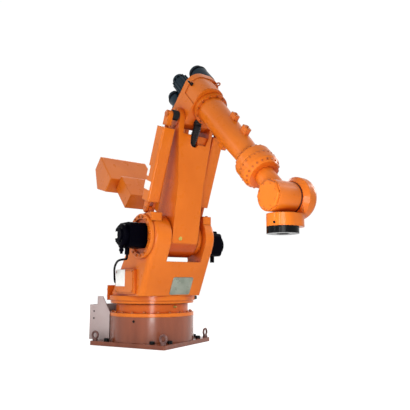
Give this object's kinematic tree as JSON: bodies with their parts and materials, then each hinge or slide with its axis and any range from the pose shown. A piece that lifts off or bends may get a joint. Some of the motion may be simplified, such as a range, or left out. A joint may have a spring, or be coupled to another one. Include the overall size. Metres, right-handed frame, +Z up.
{
  "type": "industrial robot arm",
  "caption": "Six-axis jointed robot arm on a square floor plate, with a parallel-link elbow drive, rear counterweight, spring balancers beside the lower arm and a round tool flange.",
  "frame": {"origin": "centre of the pedestal plate's underside, on the turning axis", "axes": "+Z up along the turning axis, +X to the front of the pedestal, away from the cable box, along the plate's edges"},
  "size_m": [2.2706, 1.2886, 2.1762],
  "materials": {
    "orange_paint": "semi-gloss orange paint on cast iron and aluminium",
    "brown_primer": "satin red-brown primer on steel",
    "panel_paint": "satin pale red-brown paint on sheet steel",
    "black_motor": "satin black paint",
    "black_steel": "black oxide",
    "bare_steel": "bare steel"
  },
  "bodies": {
    "base": {"base_plate": "brown_primer", "lifting_eyebolts": "bare_steel", "pedestal_drum": "brown_primer", "cable_box_right_panel": "panel_paint", "cable_box_left_panel": "panel_paint", "connector_panel": "panel_paint", "connector_sockets": "black_motor", "base_casting": "orange_paint"},
    "swivel": {"turntable": "orange_paint", "swivel_frame": "orange_paint", "junction_box": "orange_paint", "right_gear_flange": "orange_paint", "left_gear_flange": "orange_paint", "shoulder_motor": "black_motor", "shoulder_motor_cap": "black_motor", "elbow_motor": "black_motor", "elbow_motor_cap": "black_motor", "motor_lead": "black_motor", "turning_motor": "black_motor", "right_balancer_bracket": "orange_paint", "left_balancer_bracket": "orange_paint"},
    "lower_arm": {"lower_arm": "orange_paint", "right_elbow_cap": "orange_paint", "left_elbow_cap": "orange_paint", "right_rod_pin": "bare_steel", "left_rod_pin": "bare_steel"},
    "crank": {"crank_lever": "orange_paint", "counterweight": "orange_paint", "counterweight_neck": "orange_paint"},
    "link": {"parallel_link": "orange_paint"},
    "forearm": {"forearm_gear_case": "orange_paint", "roll_motor": "black_motor", "bend_motor": "black_motor", "twist_motor": "black_motor", "forearm_tube": "orange_paint", "forearm_end_ring": "orange_paint"},
    "wrist": {"roll_ring": "orange_paint", "wrist_yoke": "orange_paint", "wrist_end_cover": "orange_paint"},
    "tool_head": {"tool_housing": "orange_paint"},
    "tool": {"tool_flange": "black_steel"},
    "right_balancer": {"right_balancer_housing": "orange_paint"},
    "left_balancer": {"left_balancer_housing": "orange_paint"},
    "right_rod": {"right_balancer_rod": "orange_paint"},
    "left_rod": {"left_balancer_rod": "orange_paint"}
  },
  "joints": [
    {"name": "turn", "type": "hinge", "parent": "base", "child": "swivel", "pos_m": [0, 0, 0.324], "axis": [0, 0, 1], "range_deg": [-125, 175]},
    {"name": "shoulder", "type": "hinge", "parent": "swivel", "child": "lower_arm", "pos_m": [0.33533, -0.15637, 0.825], "axis": [0.4226, 0.9063, 0], "range_deg": [-46.5, 33.5]},
    {"name": "elbow", "type": "hinge", "parent": "lower_arm", "child": "forearm", "pos_m": [0.54326, -0.25333, 1.70186], "axis": [-0.4226, -0.9063, 0], "range_deg": [-19.8, 56.7]},
    {"name": "crank_pivot", "type": "hinge", "parent": "lower_arm", "child": "crank", "pos_m": [0.33533, -0.15637, 0.825], "axis": [-0.4226, -0.9063, 0], "range_deg": [-20.1, 57]},
    {"name": "link_pivot", "type": "hinge", "parent": "crank", "child": "link", "pos_m": [0.14886, -0.06942, 1.04333], "axis": [-0.4226, -0.9063, 0], "range_deg": [-57, 20.1]},
    {"name": "wrist_roll", "type": "hinge", "parent": "forearm", "child": "wrist", "pos_m": [1.36804, -0.63793, 0.99715], "axis": [0.6216, -0.2898, -0.7278], "range_deg": [-180, 180]},
    {"name": "wrist_bend", "type": "hinge", "parent": "wrist", "child": "tool_head", "pos_m": [1.36804, -0.63793, 0.99715], "axis": [0.4226, 0.9063, 0], "range_deg": [-148.3, 61.7]},
    {"name": "tool_twist", "type": "hinge", "parent": "tool_head", "child": "tool", "pos_m": [1.36804, -0.63793, 0.99715], "axis": [0, 0, -1], "range_deg": [-350, 350]},
    {"name": "right_balancer_anchor", "type": "hinge", "parent": "swivel", "child": "right_balancer", "pos_m": [0.34893, -0.16271, 1.031], "axis": [0.4226, 0.9063, 0], "range_deg": [-58.19, 42.01]},
    {"name": "right_balancer_pin", "type": "hinge", "parent": "lower_arm", "child": "right_rod", "pos_m": [0.59374, -0.27686, 1.69972], "axis": [0.4226, 0.9063, 0], "range_deg": [-11.69, 8.51]},
    {"name": "left_balancer_anchor", "type": "hinge", "parent": "swivel", "child": "left_balancer", "pos_m": [0.34893, -0.16271, 1.031], "axis": [0.4226, 0.9063, 0], "range_deg": [-58.19, 42.01]},
    {"name": "left_balancer_pin", "type": "hinge", "parent": "lower_arm", "child": "left_rod", "pos_m": [0.59374, -0.27686, 1.69972], "axis": [0.4226, 0.9063, 0], "range_deg": [-11.69, 8.51]}
  ],
  "couplings": [
    {"joint": "crank_pivot", "follows": "elbow", "ratio": 1},
    {"joint": "link_pivot", "follows": "elbow", "ratio": -1},
    {"joint": "right_balancer_anchor", "follows": "shoulder", "ratio": 1.245},
    {"joint": "right_balancer_pin", "follows": "shoulder", "ratio": 0.245},
    {"joint": "left_balancer_anchor", "follows": "shoulder", "ratio": 1.245},
    {"joint": "left_balancer_pin", "follows": "shoulder", "ratio": 0.245}
  ]
}
